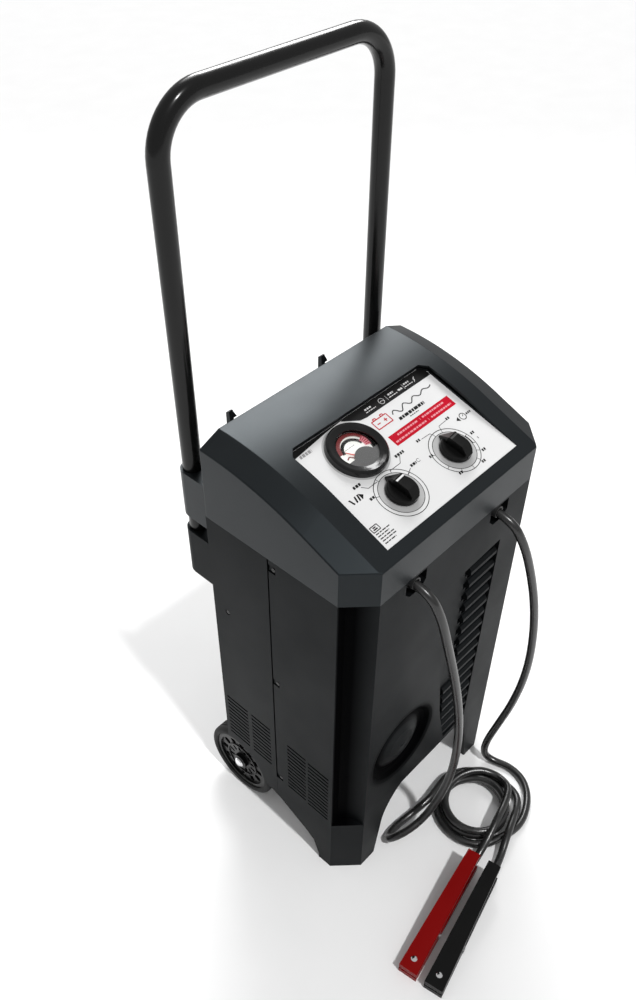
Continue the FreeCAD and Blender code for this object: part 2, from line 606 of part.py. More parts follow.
def axle_caps():
    cap = turned([(AXLE_R + 0.02, 0), (8.0, 0), (8.0, 1.0), (6.6, 2.6), (4.0, 4.0), (0, 4.6), (0, 2.62),
                  (AXLE_R + 0.02, 2.62)], 0, 0, 0)
    cap = moved(cap, WHEEL_FACE_X + 0.4, WHEEL_Y, WHEEL_R, Y_AXIS, 90)
    return group([cap, mirrored(cap)])


# --------------------------------------------------------- fasteners and trim
def pan_head(x, y, z, direction, head_r, head_h, shank_r, shank):
    """Screw whose head seats at the point and stands out along direction."""
    head = rod(x, y, z, direction, head_r, head_h)
    slot = block(-head_r, -0.4, -0.4, head_r, 0.4, 0.4)
    slot.translate(V(x, y, z) + direction * head_h)
    return fuse([head.cut(slot), rod(x, y, z, direction * -1, shank_r, shank)])


def shell_screws():
    screws = []
    for sx, y, z in seam_screw_places():
        seat = sx * (HALF_W - SCREW_SEAT)
        screws.append(pan_head(seat, y, z, X_AXIS * sx, 2.7, 1.2, 1.5, 5.0))
    return group(screws)


def cord_hooks():
    """Two upright cleats behind the housing for winding up the mains cord."""
    hooks = []
    for x in (-111.0, 37.0):
        profile = [(REAR + 0.05, 618), (REAR + 5, 618), (REAR + 14, 628), (REAR + 18, 640), (REAR + 18, 659),
                   (REAR + 13, 662), (REAR + 12, 650), (REAR + 9, 643), (REAR + 5, 640), (REAR + 0.05, 640)]
        arm = side(profile, x, x + 6)
        y = REAR + 12.5
        fin = slab([V(x + 5, y, 662), V(x + 5, y, 651), V(x + 11, y, 651)], V(0, 3, 0))
        plate = block(x - 5, REAR + 0.05, 612, x + 11, REAR + 3, 647)
        hooks.append(fuse([arm, fin, plate]))
    return group(hooks)


def lead_grommet(sx):
    """Rubber strain relief that a battery lead leaves through."""
    x, y = sx * LEAD_EXIT_X, FRONT
    profile = [(LEAD_R + 0.02, 0), (LEAD_R + 2.0, 0), (LEAD_R + 2.6, 8), (10.5, 8.2), (10.5, 15.9), (8.2, 15.9),
               (8.2, 18.4), (10.5, 18.4), (10.5, 22), (LEAD_R + 0.02, 22)]
    body = turned(profile, 0, 0, 0)
    return moved(body, x, y, LEAD_EXIT_Z, X_AXIS, -90)


def mains_gland():
    """Bush in the rear wall for the mains cord, which is not part of the model."""
    profile = [(4.2, -6), (11, -6), (11, -3.1), (8.1, -3.1), (8.1, 0.05), (11.5, 0.05), (11.5, 5), (8.0, 16),
               (6.2, 16), (4.2, 16)]
    return moved(turned(profile, 0, 0, 0), MAINS_X, REAR, MAINS_Z, X_AXIS, -90)


# ------------------------------------------------------------------- internals
def chassis_plate():
    plate = plan(footprint(WALL + 0.8, 11.0), CHASSIS_Z, CHASSIS_Z + 1.6)
    upstand = block(-70, 48, CHASSIS_Z + 1.5, 70, 49.6, 232)
    holes = [rod(x, y, CHASSIS_Z - 1, Z_AXIS, 2.6, 4) for x in (-54, 54) for y in (-72, 12)]
    room = [block(8, FRONT, 120, 106, FRONT + 9.8, 140)]
    room += [block(x, SEAM_Y - 8, 120, x + 8, SEAM_Y + 7, 140) for x in (-170, 162)]
    return fuse([plate, upstand]).cut(group(holes + room))



def transformer_core():
    x0, y0, z0, x1, y1, z1 = CORE
    core = block(x0, y0, z0, x1, y1, z1)
    windows = [block(a, y0 - 1, z0 + 22, b, y1 + 1, z1 - 22) for a, b in ((-46, -22), (22, 46))]
    return core.cut(group(windows))


def transformer_winding():
    x0, y0, z0, x1, y1, z1 = CORE
    coil = block(-45.5, y0 - 22, z0 + 23, 45.5, y1 + 22, z1 - 23)
    coil = filleted(coil, 12.0, lambda e: abs(e.tangentAt(e.FirstParameter).z) > 0.9)
    leg = block(-22.3, y0 - 0.3, z0 + 10, 22.3, y1 + 0.3, z1 - 10)
    yokes = [block(s * 58 - 12.3, y0 - 0.3, z0, s * 58 + 12.3, y1 + 0.3, z1) for s in (-1, 1)]
    return coil.cut(leg).cut(group(yokes))


def transformer_brackets():
    x0, y0, z0, x1, y1, z1 = CORE
    brackets = []
    for y_in, s in ((y0 - 0.2, -1), (y1 + 0.2, 1)):
        for sx in (-1, 1):
            xa, xb = (x0, x0 + 20) if sx < 0 else (x1 - 20, x1)
            y_out = y_in + s * 2.5
            upright = block(xa, min(y_in, y_out), CHASSIS_Z + 1.65, xb, max(y_in, y_out), z0 + 40)
            foot_y = (y_in, y_in - s * 20)
            foot = block(xa, min(foot_y), CHASSIS_Z + 1.65, xb, max(foot_y), CHASSIS_Z + 4.2)
            brackets.append(fuse([upright, foot]))
    holes = [rod(x, y, CHASSIS_Z - 1, Z_AXIS, 2.6, 9) for x in (-58, 58) for y in (-72, 12)]
    return group([b.cut(group(holes)) for b in brackets])


def rectifier_parts():
    plate = block(-66, -60, 300, 66, 34, 304)
    fins = [block(-66, -58 + i * 13, 303.5, 66, -56 + i * 13, 330) for i in range(8)]
    legs = [block(x, y, 262.1, x + 8, y + 8, 300.5) for x in (-66, 58) for y in (-60, 14)]
    sink = fuse([plate] + fins + legs)
    diodes = [rod(x, y, 288.0, Z_AXIS, 6.4, 11.9) for x in (-34, 0, 34) for y in (-38, 8)]
    return sink, group(diodes)


def circuit_breaker():
    body = block(-132, -60, 300, -104, -28, 336)
    studs = [rod(-118, y, 336, Z_AXIS, 2.5, 12) for y in (-54, -34)]
    bracket = block(-134, -64, CHASSIS_Z + 1.65, -131.9, -24, 340)
    return fuse([body, bracket] + studs)


def fan_frame():
    y0, y1 = REAR - WALL - 26.0, REAR - WALL - 0.2
    frame = block(-60, y0, FAN_Z - 60, 60, y1, FAN_Z + 60)
    frame = filleted(frame, 6.0, lambda e: abs(e.tangentAt(e.FirstParameter).y) > 0.9 and e.Length < 30)
    frame = frame.cut(rod(0, y0 - 1, FAN_Z, Y_AXIS, 56.0, 40))
    spider = [ring(0, y0, FAN_Z, Y_AXIS, 19.0, 15.0, 3.0), rod(0, y0, FAN_Z, Y_AXIS, 17.0, 3.0)]
    for i in range(4):
        strut = block(-3, y0, FAN_Z + 14, 3, y0 + 3, FAN_Z + 58)
        strut.rotate(V(0, 0, FAN_Z), Y_AXIS, 45 + i * 90)
        spider.append(strut)
    spindle = rod(0, y0 + 1, FAN_Z, Y_AXIS, 2.5, 16.5)
    holes = [rod(x, y0 - 1, z, Y_AXIS, 2.2, 40) for x in (-52.5, 52.5) for z in (FAN_Z - 52.5, FAN_Z + 52.5)]
    return fuse([frame.cut(group(holes))] + spider + [spindle])


def fan_rotor():
    y0 = REAR - WALL - 26.0
    hub = rod(0, y0 + 4.0, FAN_Z, Y_AXIS, 19.5, 17.0).cut(rod(0, y0 + 3, FAN_Z, Y_AXIS, 2.55, 15.5))
    blades = []
    for i in range(7):
        blade = slab([V(18, y0 + 7, -3), V(18, y0 + 8.6, -3), V(18, y0 + 19, 11), V(18, y0 + 17.4, 11)],
                     V(36.0, 0, 0))
        blade.translate(V(0, 0, FAN_Z))
        blade.rotate(V(0, 0, FAN_Z), Y_AXIS, i * 360.0 / 7)
        blades.append(blade)
    return fuse([hub] + blades)


# ----------------------------------------------------------------------- leads
# Routes of the two battery leads, chosen point by point: out of the cabinet,
# down in front of it, onto the floor, round the shared coil and to the clamps.
COIL_AT = (45.0, -204.0)
CLAMPS = {"red": (-147.7, -272.8, 188.5), "black": (-142.1, -307.5, 190.6)}
CLAMP_CORD_Z = 7.0
LEFT_DROP = [(-76.5, -118.0, 540.5), (-76.4, -156.0, 539.0), (-70.0, -172.0, 505.0), (-57.0, -178.0, 448.0),
             (-41.0, -187.0, 372.0), (-25.0, -192.0, 285.0), (-15.0, -191.0, 200.0), (-11.0, -185.0, 128.0),
             (-17.0, -178.0, 78.0), (-38.0, -172.0, 44.0), (-66.0, -165.0, 34.0), (-86.0, -153.0, 24.0),
             (-84.0, -142.0, 8.0), (-62.0, -138.5, 5.6), (-34.0, -143.0, 7.0), (-10.0, -148.5, 13.5),
             (11.0, -151.0, 17.6), (36.0, -147.5, 17.3)]
RIGHT_DROP = [(76.5, -118.0, 540.5), (77.0, -156.0, 539.0), (85.0, -174.0, 506.0), (102.0, -182.0, 452.0),
              (121.0, -189.0, 380.0), (134.0, -193.0, 300.0), (140.0, -192.0, 222.0), (138.0, -184.0, 150.0),
              (130.0, -172.0, 90.0), (124.0, -163.0, 44.0), (124.0, -164.0, 14.0), (129.0, -180.0, 5.7),
              (137.0, -203.0, 5.7), (134.0, -229.0, 5.7), (119.0, -249.0, 5.7), (96.0, -263.0, 5.7),
              (70.0, -270.5, 5.7), (46.0, -267.5, 5.7), (28.0, -260.5, 5.7)]
LEFT_TAIL = [(102.4, -198.0, 19.5), (102.0, -214.0, 20.0), (94.0, -229.0, 27.5), (72.0, -239.0, 30.0),
             (38.0, -246.5, 30.0), (10.0, -252.0, 21.5), (-14.0, -254.5, 9.5)]
RIGHT_TAIL = [(103.3, -203.0, 5.7), (108.0, -224.0, 5.7), (102.0, -243.0, 5.7), (82.0, -254.0, 9.5),
              (62.0, -260.5, 17.0), (45.0, -265.5, 18.3), (28.0, -271.0, 16.0), (9.0, -277.5, 9.0),
              (-10.0, -282.5, 7.0)]


def clamp_point(colour, s):
    """Point on the lead's line inside a clamp, s along the clamp from its pin."""
    x, y, degrees = CLAMPS[colour]
    return (x + s * math.cos(math.radians(degrees)), y + s * math.sin(math.radians(degrees)), CLAMP_CORD_Z)


def lead_tube(points):
    """Round tube along straight runs joined by tangent arcs."""
    pts = [V(*p) for p in points]
    edges, start, radii = [], pts[0], []
    for i in range(1, len(pts) - 1):
        before, after = pts[i] - pts[i - 1], pts[i + 1] - pts[i]
        turn = before.getAngle(after)
        radius = 0.45 * min(before.Length, after.Length) / math.tan(turn / 2)
        reach = radius * math.tan(turn / 2)
        a = pts[i] - V(before).normalize() * reach
        b = pts[i] + V(after).normalize() * reach
        bisector = (V(after).normalize() - V(before).normalize()).normalize()
        centre = pts[i] + bisector * (radius / math.cos(turn / 2))
        middle = centre - bisector * radius
        edges.append(Part.LineSegment(start, a).toShape())
        edges.append(Part.Arc(a, middle, b).toShape())
        start = b
        radii.append(round(radius))
    edges.append(Part.LineSegment(start, pts[-1]).toShape())
    path = Part.Wire(edges)
    section = Part.Wire([Part.makeCircle(LEAD_R, pts[0], pts[1] - pts[0])])
    tube = path.makePipeShell([section], True, False)
    print("lead radii", radii, "length %.0f" % path.Length, "volume ratio %.4f"
          % (tube.Volume / (path.Length * math.pi * LEAD_R ** 2)))
    return tube


def coil_solids():
    """Outer shapes of the two leads' turns: the right lead's lies round the left
    lead's, whose first quarter turn rests on it."""
    x, y = COIL_AT
    right = turned([(52.9, 0), (64.3, 0), (64.3, 11.3), (52.9, 11.3)], x, y, 0)
    corners = ((52.0, 11.6), (64.0, 11.6), (64.0, 23.0), (52.0, 23.0), (52.0, 11.6))
    first = Part.Face(Part.makePolygon([V(r, 0, h) for r, h in corners])).revolve(V(0, 0, 0), Z_AXIS, 115)
    first.rotate(V(0, 0, 0), Z_AXIS, -14)
    first.translate(V(x, y, 0))
    inner = turned([(40.5, 0), (52.4, 0), (52.4, 23.0), (40.5, 23.0)], x, y, 0)
    return fuse([inner, first]), right


# ---------------------------------------------------------------------- clamps
JAW_REACH = 64.0          # pin to jaw end
GRIP_REACH = 116.0        # pin to the end of the grips
PIN_Z = 13.5
PIN_R = 2.5


def clamp_width(s):
    return 13.0 - (JAW_REACH - s) * 4.0 / (JAW_REACH + GRIP_REACH)


def arm_plan(s0, s1, z0, z1, trim=0.0):
    """Tapered length of an arm between two stations along the clamp."""
    w0, w1 = clamp_width(s0) - trim, clamp_width(s1) - trim
    return plan([(s0, -w0), (s1, -w1), (s1, w1), (s0, w0)], z0, z1)


def arm_top(s):
    """Height of the upper arm's back along the clamp, jaws closed."""
    return 20.0 + (JAW_REACH - s) * 26.0 / (JAW_REACH + GRIP_REACH)


def clamp_lower_arm():
    body = arm_plan(-GRIP_REACH, JAW_REACH, 0, 8.0)
    rail = arm_plan(-GRIP_REACH, -34, 7.5, 12.5).cut(arm_plan(-GRIP_REACH - 1, -35, 7, 14, 2.4))
    groove = rod(-GRIP_REACH - 1, 0, 7.0, X_AXIS, LEAD_R + 0.02, 62)
    saddle = rod(-GRIP_REACH, 0, 7.0, X_AXIS, LEAD_R + 2.2, 20).common(block(-200, -20, 0, 0, 20, 12.5))
    ears = []
    for s in (-1, 1):
        y0, y1 = sorted((s * (clamp_width(0) - 2.6), s * (clamp_width(0) - 0.2)))
        ear = fuse([block(-7, y0, 7, 7, y1, PIN_Z), rod(0, y0, PIN_Z, Y_AXIS, 6.0, y1 - y0)])
        ears.append(ear)
    body = fuse([body, rail, saddle] + ears).cut(groove)
    body = body.cut(rod(0, -20, PIN_Z, Y_AXIS, PIN_R + 0.02, 40))
    return body.cut(rod(48, 0, -1, Z_AXIS, 2.05, 12))


def clamp_upper_arm():
    back = side_profile(arm_top, 8.0)
    body = back.common(arm_plan(-GRIP_REACH, JAW_REACH, 0, 60, 0.0))
    hollow = slab([V(s, -20, arm_top(s) + drop) for s, drop in ((-GRIP_REACH + 3, -12), (-18, -12), (-18, -3),
                                                               (-GRIP_REACH + 3, -3))], V(0, 40, 0))
    body = body.cut(hollow.common(arm_plan(-GRIP_REACH + 3, -18, 0, 60, 2.6)))
    body = body.cut(block(-8, -5.8, 6, 8, 5.8, 20.6))
    lugs = [block(-6, y, PIN_Z, 6, y + 2.4, arm_top(0) - 3) for y in (-8.3, 5.9)]
    lugs += [rod(0, y, PIN_Z, Y_AXIS, 5.0, 2.4) for y in (-8.3, 5.9)]
    inside = clamp_width(0) - 2.9
    ears = [block(-9, -14, 6.0, 9, -inside, 20.2), block(-9, inside, 6.0, 9, 14, 20.2)]
    body = fuse([body.cut(group(ears))] + lugs)
    body = body.cut(rod(0, -20, PIN_Z, Y_AXIS, PIN_R + 0.06, 40))
    return body.cut(rod(48, 0, 5, Z_AXIS, 2.05, 30))


def side_profile(top, depth):
    """Arm blank between a top line and a line a depth below it."""
    s0, s1 = -GRIP_REACH, JAW_REACH
    points = [(s0, top(s0) - depth), (-16, top(-16) - depth), (14, 12.45), (s1, 12.45), (s1, top(s1)),
              (s0, top(s0))]
    return slab([V(s, -20, z) for s, z in points], V(0, 40, 0))


def clamp_jaw(upper):
    """Toothed metal jaw plate; the lower one lies on its arm."""
    z0, z1 = (10.35, 12.35) if upper else (8.05, 10.05)
    plate = arm_plan(22, JAW_REACH - 1, z0, z1, 1.6)
    for i in range(7):
        for s in (-1, 1):
            x = 27 + i * 5.2
            y = s * (clamp_width(x) - 1.6)
            notch = [(x - 1.6, y + s * 0.5), (x + 1.6, y + s * 0.5), (x, y - s * 2.2)]
            plate = plate.cut(plan(notch, z0 - 1, z1 + 1))
    return plate.cut(rod(48, 0, z0 - 1, Z_AXIS, 2.05, 4))


def clamp_pin():
    half = clamp_width(0) + 0.8
    heads = [rod(0, s * half, PIN_Z, Y_AXIS * s, 3.6, 1.0) for s in (-1, 1)]
    return fuse([rod(0, -half, PIN_Z, Y_AXIS, PIN_R, 2 * half)] + heads)


def clamp_spring():
    """Torsion spring round the pin; its long leg presses on the lower arm."""
    turns = [Part.makeTorus(4.3, 0.9, V(0, -4.0 + i * 1.62, PIN_Z), Y_AXIS) for i in range(6)]
    link = rod(0, -4.0, PIN_Z - 4.3, Y_AXIS, 0.6, 8.1)
    leg = rod(0, 4.1, PIN_Z - 4.3, X_AXIS * -1, 0.9, 26)
    return fuse(turns + [link, leg])


def clamp_rivet(upper):
    if upper:
        head_z = arm_top(48) - 0.6
        dome = turned([(0, 0), (4.4, 0), (4.2, 1.2), (3.0, 2.3), (0, 2.8)], 48, 0, head_z)
        return fuse([rod(48, 0, 10.4, Z_AXIS, 2.0, head_z - 9.4), dome])
    return rod(48, 0, 0.4, Z_AXIS, 2.0, 9.6)


def placed_clamp(shape, colour):
    x, y, degrees = CLAMPS[colour]
    return moved(shape, x, y, 0, Z_AXIS, degrees)


# ----------------------------------------------------------------------- build
def build():
    os.makedirs("parts", exist_ok=True)
    save("top_housing", top_housing())
    save("front_shell", front_shell())
    save("rear_shell", rear_shell())
    save("control_label", control_label())
    save("gauge_bezel", gauge_bezel())
    save("gauge_case", gauge_case())
    save("gauge_dial", gauge_dial())
    save("gauge_movement", gauge_movement())
    save("gauge_needle", gauge_needle())
    save("gauge_cover", gauge_cover())
    save("gauge_lens", gauge_lens())
    save("mode_knob", knob(MODE_AT))
    save("timer_knob", knob(TIMER_AT))
    save("mode_shaft", knob_shaft(MODE_AT))
    save("timer_shaft", knob_shaft(TIMER_AT))
    save("mode_switch", mode_switch())
    save("timer_unit", timer_unit())
    save("handle_tube", handle_tube())
    save("handle_screws", handle_screws())
    for sx, name in ((-1, "left"), (1, "right")):
        save(name + "_wheel_hub", wheel_hub(sx))
        save(name + "_tyre", tyre(sx))
        save(name + "_lead_grommet", lead_grommet(sx))
    save("axle_rod", axle_rod())
    save("axle_caps", axle_caps())
    save("shell_screws", shell_screws())
    save("cord_hooks", cord_hooks())
    save("mains_gland", mains_gland())
    save("chassis_plate", chassis_plate())
    save("transformer_core", transformer_core())
    save("transformer_winding", transformer_winding())
    save("transformer_brackets", transformer_brackets())
    sink, diodes = rectifier_parts()
    save("rectifier_heatsink", sink)
    save("rectifier_diodes", diodes)
    save("circuit_breaker", circuit_breaker())
    save("fan_frame", fan_frame())
    save("fan_rotor", fan_rotor())
    save("red_lead", lead_tube(LEFT_DROP))
    save("black_lead", lead_tube(RIGHT_DROP))
    save("red_lead_tail", lead_tube(LEFT_TAIL + [clamp_point("red", s) for s in (-112, -96)]))
    save("black_lead_tail", lead_tube(RIGHT_TAIL + [clamp_point("black", s) for s in (-112, -96)]))
    left_coil, right_coil = coil_solids()
    save("red_lead_coil", left_coil)
    save("black_lead_coil", right_coil)
    for colour in CLAMPS:
        pieces = {"lower_arm": clamp_lower_arm(), "upper_arm": clamp_upper_arm(), "lower_jaw": clamp_jaw(False),
                  "upper_jaw": clamp_jaw(True), "pin": clamp_pin(), "spring": clamp_spring(),
                  "rivet": clamp_rivet(True)}
        for piece, shape in pieces.items():
            save(colour + "_clamp_" + piece, placed_clamp(shape, colour))
    save("clamp_lower_rivets", group([placed_clamp(clamp_rivet(False), c) for c in CLAMPS]))


build()
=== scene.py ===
import bpy
import bmesh
import json
import math
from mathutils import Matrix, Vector


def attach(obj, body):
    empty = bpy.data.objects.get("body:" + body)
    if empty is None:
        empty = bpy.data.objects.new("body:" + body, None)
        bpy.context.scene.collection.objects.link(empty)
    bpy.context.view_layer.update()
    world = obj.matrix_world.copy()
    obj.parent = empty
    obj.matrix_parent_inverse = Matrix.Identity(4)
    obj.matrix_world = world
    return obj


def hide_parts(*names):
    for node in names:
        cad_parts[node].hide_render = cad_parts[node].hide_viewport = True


# Looks of a wheeled car battery charger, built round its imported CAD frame.
# Lengths are in metres; helpers that take millimetres say so.

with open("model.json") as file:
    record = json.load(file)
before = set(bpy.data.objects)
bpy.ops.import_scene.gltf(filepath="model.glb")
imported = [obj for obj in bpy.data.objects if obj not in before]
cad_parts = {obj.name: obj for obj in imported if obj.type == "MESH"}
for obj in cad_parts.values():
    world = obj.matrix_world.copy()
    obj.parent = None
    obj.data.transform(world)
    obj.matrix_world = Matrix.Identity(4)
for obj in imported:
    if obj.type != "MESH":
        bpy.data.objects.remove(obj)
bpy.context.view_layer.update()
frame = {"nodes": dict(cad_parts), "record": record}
nodes = frame["nodes"]
MM = 0.001


# ---------------------------------------------------------------- camera
camera = bpy.data.cameras.new("camera")
camera.lens = 33.76
camera.sensor_width = 36.0
camera.shift_x = 0.00663
camera.shift_y = 0.01778
camera.clip_start = 0.01
camera.clip_end = 60.0
eye = bpy.data.objects.new("camera", camera)
eye.location = (-0.6495, -0.5210, 1.2744)
eye.rotation_euler = (math.radians(90.0 - 43.19), 0.0, math.radians(-46.98))
bpy.context.scene.collection.objects.link(eye)
bpy.context.scene.camera = eye


# ---------------------------------------------------------------- materials
def new_material(name):
    """A fresh material with its node tree and main shader."""
    material = bpy.data.materials.new(name)
    material.use_nodes = True
    tree = material.node_tree
    shader = tree.nodes["Principled BSDF"]
    return material, tree, shader


def noise(tree, scale, detail=3.0, rough=0.5, stretch=None):
    coords = tree.nodes.new("ShaderNodeTexCoord")
    texture = tree.nodes.new("ShaderNodeTexNoise")
    texture.inputs["Scale"].default_value = scale
    texture.inputs["Detail"].default_value = detail
    texture.inputs["Roughness"].default_value = rough
    source = coords.outputs["Object"]
    if stretch:
        mapping = tree.nodes.new("ShaderNodeMapping")
        mapping.inputs["Scale"].default_value = stretch
        tree.links.new(source, mapping.inputs["Vector"])
        source = mapping.outputs["Vector"]
    tree.links.new(source, texture.inputs["Vector"])
    return texture.outputs["Fac"]


def remap(tree, value, low, high, out_low, out_high):
    node = tree.nodes.new("ShaderNodeMapRange")
    node.inputs["From Min"].default_value = low
    node.inputs["From Max"].default_value = high
    node.inputs["To Min"].default_value = out_low
    node.inputs["To Max"].default_value = out_high
    tree.links.new(value, node.inputs["Value"])
    return node.outputs["Result"]


def two_tone(tree, value, dark, light):
    """Colour that drifts between two tones as value goes from 0.3 to 0.7."""
    ramp = tree.nodes.new("ShaderNodeValToRGB")
    ramp.color_ramp.elements[0].position = 0.3
    ramp.color_ramp.elements[1].position = 0.7
    ramp.color_ramp.elements[0].color = (*dark, 1.0)
    ramp.color_ramp.elements[1].color = (*light, 1.0)
    tree.links.new(value, ramp.inputs["Fac"])
    return ramp.outputs["Color"]


def surface(name, dark, light, rough, grain=0.0, grain_scale=900.0, metallic=0.0, coat=0.0,
            blotch=9.0, stretch=None, specular=0.5, tint=(1.0, 1.0, 1.0)):
    """A finish with slow colour drift, uneven roughness and a fine moulded grain."""
    material, tree, shader = new_material(name)
    tree.links.new(two_tone(tree, noise(tree, blotch, 4.0), dark, light), shader.inputs["Base Color"])
    tree.links.new(remap(tree, noise(tree, blotch * 4.0, 5.0), 0.3, 0.7, rough[0], rough[1]),
                   shader.inputs["Roughness"])
    shader.inputs["Metallic"].default_value = metallic
    shader.inputs["Specular IOR Level"].default_value = specular
    shader.inputs["Specular Tint"].default_value = (*tint, 1.0)
    shader.inputs["Coat Weight"].default_value = coat
    shader.inputs["Coat Roughness"].default_value = 0.08
    if grain:
        bump = tree.nodes.new("ShaderNodeBump")
        bump.inputs["Strength"].default_value = grain
        bump.inputs["Distance"].default_value = 0.0004
        tree.links.new(noise(tree, grain_scale, 2.0, 0.6, stretch), bump.inputs["Height"])
        tree.links.new(bump.outputs["Normal"], shader.inputs["Normal"])
    return material


def grey(v):
    return (v, v, v)


def cool(v):
    return (v, v * 1.12, v * 1.22)


COOL_TINT = (0.78, 0.92, 1.0)
FLUTE_BOTTOM = 0.1125            # lower end of the corner hollows
BOSS_X, BOSS_Z = -0.066, 0.226   # centre of the round boss


def math_node(tree, operation, a, b=None):
    """Output of one Math node; a and b are sockets or plain numbers."""
    node = tree.nodes.new("ShaderNodeMath")
    node.operation = operation
    for socket, value in zip(node.inputs, (a, b)):
        if hasattr(value, "node"):
            tree.links.new(value, socket)
        elif value is not None:
            socket.default_value = value
    return node.outputs["Value"]


def product(tree, a, b):
    return math_node(tree, "MULTIPLY", a, b)


def total(tree, a, b):
    return math_node(tree, "ADD", a, b)


def between(tree, value, start, end, soft_in, soft_out):
    """1 where value is between start and end, fading over the two soft widths outside them."""
    rise = remap(tree, value, start - soft_in, start, 0.0, 1.0)
    fall = remap(tree, value, end, end + soft_out, 1.0, 0.0)
    return product(tree, rise, fall)


def corner_shade_mask(tree, x, y, z):
    """Painted shade in the hollow down each front corner, measured across the chamfer from its front edge.
    """
    across = total(tree, math_node(tree, "ABSOLUTE", x), y)
    hollow = between(tree, across, 0.032, 0.057, 0.032, 0.003)
    return product(tree, hollow, remap(tree, z, FLUTE_BOTTOM - 0.001, FLUTE_BOTTOM, 0.0, 1.0))


def ring_shade_mask(tree, x, y, z):
    """Painted shade in the groove round the boss, on the outside of the front wall only."""
    dx = total(tree, x, -BOSS_X)
    dz = total(tree, z, -BOSS_Z)
    radius = math_node(tree, "SQRT", total(tree, product(tree, dx, dx), product(tree, dz, dz)))
    groove = between(tree, radius, 0.042, 0.056, 0.012, 0.012)
    return product(tree, groove, remap(tree, y, -0.124, -0.118, 1.0, 0.0))


def paint_shade_in_hollows(material, amount):
    """Painted shade in the hollows of the front shell: darker and less reflective than the grained flats."""
    tree = material.node_tree
    shader = tree.nodes["Principled BSDF"]
    coords = tree.nodes.new("ShaderNodeTexCoord")
    split = tree.nodes.new("ShaderNodeSeparateXYZ")
    tree.links.new(coords.outputs["Object"], split.inputs["Vector"])
    place = [split.outputs[axis] for axis in "XYZ"]
    shade_mask = math_node(tree, "MAXIMUM", corner_shade_mask(tree, *place), ring_shade_mask(tree, *place))
    level = shader.inputs["Specular IOR Level"].default_value
    tree.links.new(remap(tree, shade_mask, 0.0, 1.0, level, level * amount), shader.inputs["Specular IOR Level"])
    mix = tree.nodes.new("ShaderNodeMix")
    mix.data_type = "RGBA"
    colour = shader.inputs["Base Color"].links[0].from_socket
    tree.links.new(shade_mask, mix.inputs["Factor"])
    tree.links.new(colour, mix.inputs["A"])
    # near-black colour of the painted shade
    mix.inputs["B"].default_value = (0.001, 0.001, 0.0012, 1.0)
    tree.links.new(mix.outputs["Result"], shader.inputs["Base Color"])


MATERIALS = {
    "shell_black": surface("shell_black", cool(0.0045), cool(0.0052), (0.40, 0.48), 0.10, 1100.0,
                           blotch=3.0, specular=0.06, tint=COOL_TINT),
    "housing_black": surface("housing_black", cool(0.0075), cool(0.0085), (0.34, 0.40), 0.10, 1100.0,
                             blotch=3.0, specular=0.21, tint=COOL_TINT),
    "label": surface("label", grey(0.62), grey(0.65), (0.34, 0.42), 0.05, 600.0, blotch=3.0),
    "bezel_black": surface("bezel_black", grey(0.003), grey(0.004), (0.14, 0.20), 0.03, 300.0,
                           specular=0.3, coat=0.15),
    "cover_grey": surface("cover_grey", grey(0.075), grey(0.090), (0.30, 0.38), 0.10, 900.0),
    "case_black": surface("case_black", grey(0.020), grey(0.028), (0.45, 0.6), 0.3, 900.0),
    "dial_white": surface("dial_white", (0.80, 0.80, 0.76), (0.86, 0.86, 0.82), (0.4, 0.5), 0.05, 500.0),
    "needle_red": surface("needle_red", (0.55, 0.02, 0.01), (0.62, 0.03, 0.02), (0.3, 0.4), 0.05, 500.0),
    "knob_black": surface("knob_black", grey(0.002), grey(0.003), (0.26, 0.34), 0.10, 1300.0,
                          specular=0.22),
    "steel": surface("steel", (0.50, 0.50, 0.51), (0.60, 0.60, 0.61), (0.26, 0.40), 0.15, 400.0, 1.0,
                     stretch=(1.0, 1.0, 8.0)),
    "bright_metal": surface("bright_metal", (0.78, 0.78, 0.79), (0.86, 0.86, 0.87), (0.08, 0.16), 0.05,
                            300.0, 1.0),
    "handle_black": surface("handle_black", grey(0.003), grey(0.004), (0.16, 0.24), 0.05, 160.0,
                            specular=0.3),
    "hub_black": surface("hub_black", grey(0.004), grey(0.007), (0.30, 0.40), 0.1, 900.0, specular=0.22),
    "tyre_black": surface("tyre_black", grey(0.008), grey(0.012), (0.60, 0.75), 0.4, 700.0, specular=0.3),
    "screw_black": surface("screw_black", grey(0.006), grey(0.009), (0.35, 0.45), 0.1, 900.0, 0.3),
    "rubber_black": surface("rubber_black", grey(0.006), grey(0.009), (0.50, 0.62), 0.3, 800.0),
    "lamination": surface("lamination", (0.16, 0.16, 0.17), (0.22, 0.22, 0.23), (0.35, 0.5), 0.5, 500.0, 0.8,
                          stretch=(1.0, 12.0, 1.0)),
    "winding": surface("winding", (0.40, 0.15, 0.05), (0.50, 0.21, 0.08), (0.25, 0.4), 0.6, 420.0, 0.7,
                       stretch=(1.0, 1.0, 9.0)),
    "aluminium": surface("aluminium", (0.70, 0.71, 0.72), (0.78, 0.79, 0.80), (0.28, 0.4), 0.2, 500.0, 1.0,
                         stretch=(8.0, 1.0, 1.0)),
    "red_plastic": surface("red_plastic", (0.19, 0.001, 0.001), (0.22, 0.0015, 0.0015), (0.28, 0.38),
                           0.15, 700.0, specular=0.10),
    "black_plastic": surface("black_plastic", grey(0.004), grey(0.005), (0.30, 0.40), 0.15, 700.0,
                             specular=0.12),
    "switch_brown": surface("switch_brown", (0.06, 0.030, 0.018), (0.09, 0.045, 0.027), (0.4, 0.55),
                            0.2, 700.0),
    "lead_jacket": surface("lead_jacket", grey(0.008), grey(0.014), (0.24, 0.32), 0.06, 500.0,
                           specular=0.65),
}


